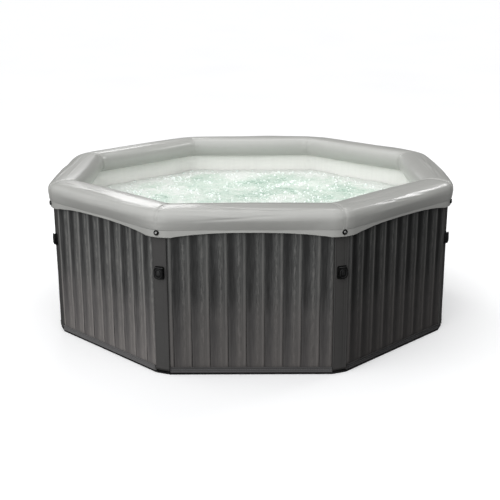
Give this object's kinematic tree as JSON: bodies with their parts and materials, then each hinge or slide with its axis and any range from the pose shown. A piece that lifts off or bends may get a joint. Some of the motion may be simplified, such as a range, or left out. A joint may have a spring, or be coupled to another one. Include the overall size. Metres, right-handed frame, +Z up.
{
  "type": "inflatable hot tub",
  "caption": "Eight-sided inflatable hot tub with padded wood-look panels, a soft inflated rim, corner buckles for a cover, and an outboard unit that heats, filters and aerates.",
  "frame": {"origin": "centre of the tub on the ground, at the middle of the base mat's underside", "axes": "+Z up, -Y towards the front side, +Y towards the control unit behind the tub"},
  "size_m": [1.966, 2.371, 0.76],
  "materials": {
    "black_mat": "matte",
    "foam": "matte",
    "liner_vinyl": "satin",
    "chamber_vinyl": "satin",
    "wood_print": "satin",
    "strip_vinyl": "satin",
    "hem_vinyl": "satin",
    "rim_vinyl": "satin",
    "duct_vinyl": "satin",
    "stud_metal": "satin",
    "black_plastic": "satin",
    "grey_plastic": "satin",
    "white_plastic": "satin",
    "gasket_rubber": "matte",
    "foot_rubber": "matte",
    "filter_paper": "matte",
    "unit_white": "satin",
    "unit_grey": "satin",
    "screw_steel": "satin",
    "fascia_black": "gloss",
    "display_glass": "gloss",
    "button_plastic": "satin",
    "motor_metal": "satin",
    "heater_steel": "satin",
    "board_green": "satin"
  },
  "bodies": {
    "tub": {"base_mat": "black_mat", "floor_pad": "foam", "inner_liner": "liner_vinyl", "wall_chambers": "chamber_vinyl", "wall_panel_1": "wood_print", "wall_panel_2": "wood_print", "wall_panel_3": "wood_print", "wall_panel_4": "wood_print", "wall_panel_5": "wood_print", "wall_panel_6": "wood_print", "wall_panel_7": "wood_print", "wall_panel_8": "wood_print", "corner_strips": "strip_vinyl", "bottom_hem": "hem_vinyl", "rim_ring": "rim_vinyl", "rim_skirt": "rim_vinyl", "rim_studs": "stud_metal", "buckle_sockets": "black_plastic", "bubble_ring": "duct_vinyl", "drain_valve_body": "grey_plastic", "inflation_valve_body": "grey_plastic", "suction_fitting": "white_plastic", "return_fitting": "white_plastic", "air_fitting": "white_plastic", "lock_nuts": "grey_plastic", "port_gaskets": "gasket_rubber", "return_grille": "white_plastic", "filter_cartridge": "filter_paper", "unit_feet": "foot_rubber", "unit_base": "unit_grey", "unit_shell": "unit_white", "unit_lid": "unit_grey", "unit_screws": "screw_steel", "control_fascia": "fascia_black", "display_window": "display_glass", "cable_gland": "black_plastic", "pump_housing": "black_plastic", "pump_motor": "motor_metal", "heater_tube": "heater_steel", "unit_pipes": "white_plastic", "blower_housing": "black_plastic", "blower_motor": "motor_metal", "circuit_board": "board_green"},
    "filter_cover_body": {"filter_cover": "white_plastic"},
    "drain_cap_body": {"drain_valve_cap": "black_plastic"},
    "valve_cap_body": {"inflation_valve_cap": "grey_plastic"},
    "valve_poppet_body": {"inflation_valve_poppet": "white_plastic"},
    "nut_suction_body": {"union_nut_suction": "grey_plastic"},
    "nut_return_body": {"union_nut_return": "grey_plastic"},
    "nut_air_body": {"union_nut_air": "grey_plastic"},
    "handle_body": {"unit_handle": "unit_grey"},
    "impeller_body": {"pump_impeller": "white_plastic"},
    "fan_body": {"blower_fan": "white_plastic"},
    "button_power_body": {"button_power": "button_plastic"},
    "button_heat_body": {"button_heat": "button_plastic"},
    "button_up_body": {"button_up": "button_plastic"},
    "button_down_body": {"button_down": "button_plastic"},
    "button_filter_body": {"button_filter": "button_plastic"},
    "button_bubble_body": {"button_bubble": "button_plastic"}
  },
  "joints": [
    {"name": "filter_cover_twist", "type": "hinge", "parent": "tub", "child": "filter_cover_body", "pos_m": [-0.12, 0.82, 0.17], "axis": [0, -1, 0], "range_deg": [0, 45]},
    {"name": "drain_cap_turn", "type": "hinge", "parent": "tub", "child": "drain_cap_body", "pos_m": [0.68943, 0.68943, 0.09], "axis": [0.7071, 0.7071, 0], "range_deg": [0, 360]},
    {"name": "valve_cap_flip", "type": "hinge", "parent": "tub", "child": "valve_cap_body", "pos_m": [-0.6912, 0.6912, 0.614], "axis": [0.7071, 0.7071, 0], "range_deg": [0, 110]},
    {"name": "valve_poppet_push", "type": "slide", "parent": "tub", "child": "valve_poppet_body", "axis": [0.7071, -0.7071, 0], "range_m": [0, 0.006], "stiffness_N_per_m": 600},
    {"name": "union_nut_suction_turn", "type": "hinge", "parent": "tub", "child": "nut_suction_body", "pos_m": [-0.12, 1, 0.17], "axis": [0, 1, 0], "range_deg": [0, 360]},
    {"name": "union_nut_return_turn", "type": "hinge", "parent": "tub", "child": "nut_return_body", "pos_m": [0.12, 1, 0.17], "axis": [0, 1, 0], "range_deg": [0, 360]},
    {"name": "union_nut_air_turn", "type": "hinge", "parent": "tub", "child": "nut_air_body", "pos_m": [0, 1, 0.3], "axis": [0, 1, 0], "range_deg": [0, 360]},
    {"name": "unit_handle_swing", "type": "hinge", "parent": "tub", "child": "handle_body", "pos_m": [0, 1.379, 0.36], "axis": [1, 0, 0], "range_deg": [0, 120]},
    {"name": "pump_impeller_spin", "type": "hinge", "parent": "tub", "child": "impeller_body", "pos_m": [-0.12, 1.12, 0.17], "axis": [0, 1, 0], "continuous": true},
    {"name": "blower_fan_spin", "type": "hinge", "parent": "tub", "child": "fan_body", "pos_m": [0.038, 1.272, 0.3], "axis": [0, 0, 1], "continuous": true},
    {"name": "button_power_press", "type": "slide", "parent": "tub", "child": "button_power_body", "axis": [0, 0, -1], "range_m": [0, 0.0015], "stiffness_N_per_m": 800},
    {"name": "button_heat_press", "type": "slide", "parent": "tub", "child": "button_heat_body", "axis": [0, 0, -1], "range_m": [0, 0.0015], "stiffness_N_per_m": 800},
    {"name": "button_up_press", "type": "slide", "parent": "tub", "child": "button_up_body", "axis": [0, 0, -1], "range_m": [0, 0.0015], "stiffness_N_per_m": 800},
    {"name": "button_down_press", "type": "slide", "parent": "tub", "child": "button_down_body", "axis": [0, 0, -1], "range_m": [0, 0.0015], "stiffness_N_per_m": 800},
    {"name": "button_filter_press", "type": "slide", "parent": "tub", "child": "button_filter_body", "axis": [0, 0, -1], "range_m": [0, 0.0015], "stiffness_N_per_m": 800},
    {"name": "button_bubble_press", "type": "slide", "parent": "tub", "child": "button_bubble_body", "axis": [0, 0, -1], "range_m": [0, 0.0015], "stiffness_N_per_m": 800}
  ]
}
